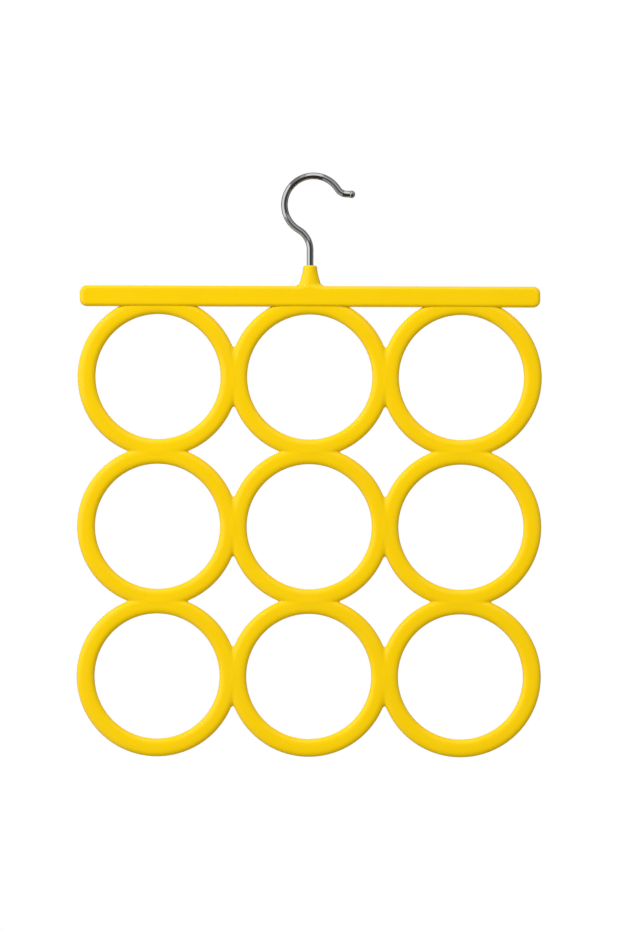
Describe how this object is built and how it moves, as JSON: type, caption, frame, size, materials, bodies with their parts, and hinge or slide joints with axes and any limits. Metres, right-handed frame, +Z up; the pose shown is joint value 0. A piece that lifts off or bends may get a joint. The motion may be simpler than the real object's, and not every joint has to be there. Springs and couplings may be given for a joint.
{
  "type": "multi-ring hanger",
  "caption": "Flat scarf hanger: a grid of moulded rings joined rim to rim under a straight bar, hung from a wire hook that swivels in the bar's flared neck.",
  "frame": {"origin": "on the swivel axis, at the inside of the hook's crown, where a rail carries the hanger", "axes": "+Z up along the swivel axis, +X along the bar towards the side the hook opens to, +Y towards the back; the front faces -Y"},
  "size_m": [0.2784, 0.009, 0.3505],
  "materials": {
    "hook_chrome": "bright nickel-chrome plate on round steel wire",
    "yellow_plastic": "satin, as moulded"
  },
  "bodies": {
    "hook": {"hook": "hook_chrome"},
    "frame": {"top_bar": "yellow_plastic", "ring_top_left": "yellow_plastic", "ring_top_middle": "yellow_plastic", "ring_top_right": "yellow_plastic", "ring_centre_left": "yellow_plastic", "ring_centre_middle": "yellow_plastic", "ring_centre_right": "yellow_plastic", "ring_bottom_left": "yellow_plastic", "ring_bottom_middle": "yellow_plastic", "ring_bottom_right": "yellow_plastic"}
  },
  "joints": [
    {"name": "hook_swivel", "type": "hinge", "parent": "hook", "child": "frame", "pos_m": [0, 0, -0.0517], "axis": [0, 0, 1], "continuous": true}
  ]
}
